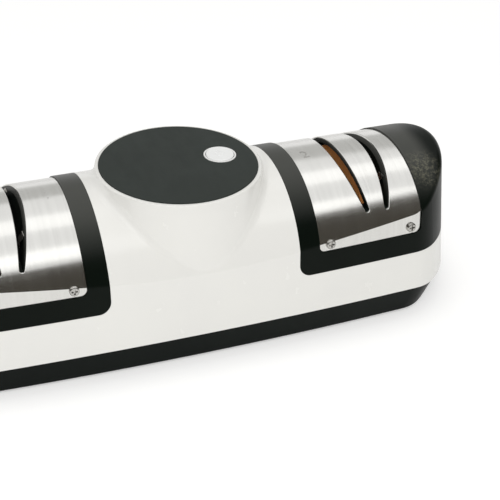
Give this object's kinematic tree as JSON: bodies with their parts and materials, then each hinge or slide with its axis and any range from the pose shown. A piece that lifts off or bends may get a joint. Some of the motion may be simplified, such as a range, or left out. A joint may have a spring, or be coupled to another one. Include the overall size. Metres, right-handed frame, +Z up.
{
  "type": "electric knife sharpener",
  "caption": "Electric knife sharpener: white body on a black base, round control disc with a push button, and a slotted steel-covered grinding station at each end.",
  "frame": {"origin": "on the table under the middle of the body", "axes": "+X along the body to the right of somebody in front of it, -Y to the front, +Z up"},
  "size_m": [0.3412, 0.1164, 0.0977],
  "materials": {
    "white_body": "glossy injection-moulded plastic, off-white",
    "black_body": "satin black plastic, finely grained",
    "black_disc": "satin black panel",
    "steel_cover": "brushed stainless sheet",
    "bright_steel": "nickel-plated steel",
    "button_plastic": "light grey plastic",
    "bezel_plastic": "white plastic ring",
    "foot_rubber": "grey-black rubber",
    "mount_rubber": "soft rubber",
    "machined_steel": "turned steel",
    "dark_steel": "zinc-plated or painted steel",
    "fine_stone": "orange-brown ceramic-bonded abrasive, fine",
    "coarse_stone": "brown abrasive, coarse",
    "bushing_bronze": "sintered bronze",
    "copper_winding": "laminated core with copper winding",
    "magnet_ferrite": "sintered ferrite",
    "spring_steel": "spring steel strip",
    "board_green": "printed circuit board",
    "part_black": "moulded electric part",
    "part_white": "white nylon connector",
    "clear_plastic": "clear light guide",
    "lead_red": "insulated wire",
    "coupling_plastic": "turned aluminium"
  },
  "bodies": {
    "body": {"base_housing": "black_body", "base_screws": "dark_steel", "board_capacitor": "part_black", "board_connectors": "part_white", "board_screws": "bright_steel", "button_bezel": "bezel_plastic", "button_switch": "part_black", "control_board": "board_green", "control_disc": "black_disc", "dc_jack": "part_black", "indicator_leds": "part_white", "indicator_light_guide": "clear_plastic", "jack_leads": "lead_red", "left_bearing_cap_screws": "dark_steel", "left_bearing_caps": "black_body", "left_blade_cover": "steel_cover", "left_blade_guide": "black_body", "left_cover_screws": "bright_steel", "left_dust_magnet": "magnet_ferrite", "left_guide_springs": "spring_steel", "left_shaft_bushings": "bushing_bronze", "left_station_housing": "black_body", "motor_brushes": "magnet_ferrite", "motor_bushings": "bushing_bronze", "motor_can": "dark_steel", "motor_clamp_screws": "dark_steel", "motor_clamps": "dark_steel", "motor_end_bells": "part_black", "motor_leads": "lead_red", "motor_magnets": "magnet_ferrite", "motor_mount_rings": "mount_rubber", "right_bearing_cap_screws": "dark_steel", "right_bearing_caps": "black_body", "right_blade_cover": "steel_cover", "right_blade_guide": "black_body", "right_cover_screws": "bright_steel", "right_dust_magnet": "magnet_ferrite", "right_guide_springs": "spring_steel", "right_shaft_bushings": "bushing_bronze", "right_station_housing": "black_body", "rubber_feet": "foot_rubber", "upper_shell": "white_body"},
    "button": {"power_button": "button_plastic", "switch_plunger": "part_black"},
    "rotor": {"motor_armature": "copper_winding", "motor_shaft": "machined_steel", "left_shaft_coupling": "coupling_plastic", "left_wheel_shaft": "machined_steel", "left_grinding_wheel": "coarse_stone", "left_wheel_flanges": "machined_steel", "left_wheel_nut": "dark_steel", "right_shaft_coupling": "coupling_plastic", "right_wheel_shaft": "machined_steel", "right_grinding_wheel": "fine_stone", "right_wheel_flanges": "machined_steel", "right_wheel_nut": "dark_steel"}
  },
  "joints": [
    {"name": "button_press", "type": "slide", "parent": "body", "child": "button", "axis": [0, 0, -1], "range_m": [0, 0.001], "stiffness_N_per_m": 1500, "springref_m": -0.0003},
    {"name": "drive_spin", "type": "hinge", "parent": "body", "child": "rotor", "pos_m": [0, 0, 0.046], "axis": [1, 0, 0], "continuous": true}
  ]
}
